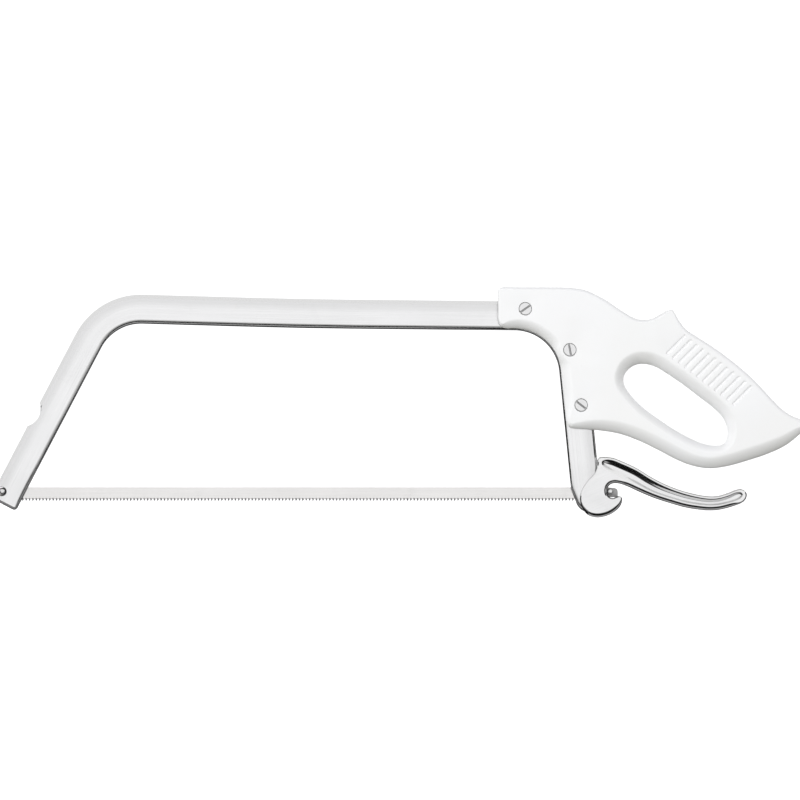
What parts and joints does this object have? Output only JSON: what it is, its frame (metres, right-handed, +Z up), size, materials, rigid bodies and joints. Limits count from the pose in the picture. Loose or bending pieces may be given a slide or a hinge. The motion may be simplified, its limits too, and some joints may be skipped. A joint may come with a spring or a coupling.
{
  "type": "bone saw",
  "caption": "Butcher's bone saw with a bent flat-bar bow, white moulded pistol handle, fine-toothed blade on cross pins and a hinged cam lever that tensions it.",
  "frame": {"origin": "centre of the whole saw's bounding box, upright with the blade level and its teeth down", "axes": "+X along the blade towards the handle, +Y through the saw's thickness away from the pictured side, +Z up from the teeth to the top bar"},
  "size_m": [0.6028, 0.026, 0.1709],
  "materials": {
    "bow_frame": "fine satin",
    "handle": "smooth white moulding",
    "handle_screw": "turned",
    "handle_nut": "turned",
    "tension_lever": "polished casting",
    "lever_pivot": "turned",
    "saw_blade": "rolled strip",
    "blade_pin": "turned"
  },
  "bodies": {
    "bow": {"bow_frame": "bow_frame", "handle": "handle", "handle_screw_top": "handle_screw", "handle_screw_middle": "handle_screw", "handle_screw_bottom": "handle_screw", "handle_nut_top": "handle_nut", "handle_nut_middle": "handle_nut", "handle_nut_bottom": "handle_nut"},
    "lever": {"tension_lever": "tension_lever", "lever_pivot_near": "lever_pivot", "lever_pivot_far": "lever_pivot"},
    "blade": {"saw_blade": "saw_blade", "blade_pin_front": "blade_pin", "blade_pin_rear": "blade_pin"}
  },
  "joints": [
    {"name": "lever_pivot", "type": "hinge", "parent": "bow", "child": "lever", "pos_m": [0.14264, 0, -0.0701], "axis": [0, 1, 0], "range_deg": [0, 120]},
    {"name": "blade_hook", "type": "hinge", "parent": "lever", "child": "blade", "pos_m": [0.1573, 0, -0.06565], "axis": [0, 1, 0], "range_deg": [-118, 0]}
  ],
  "couplings": [
    {"joint": "blade_hook", "follows": "lever_pivot", "ratio": -0.97}
  ]
}
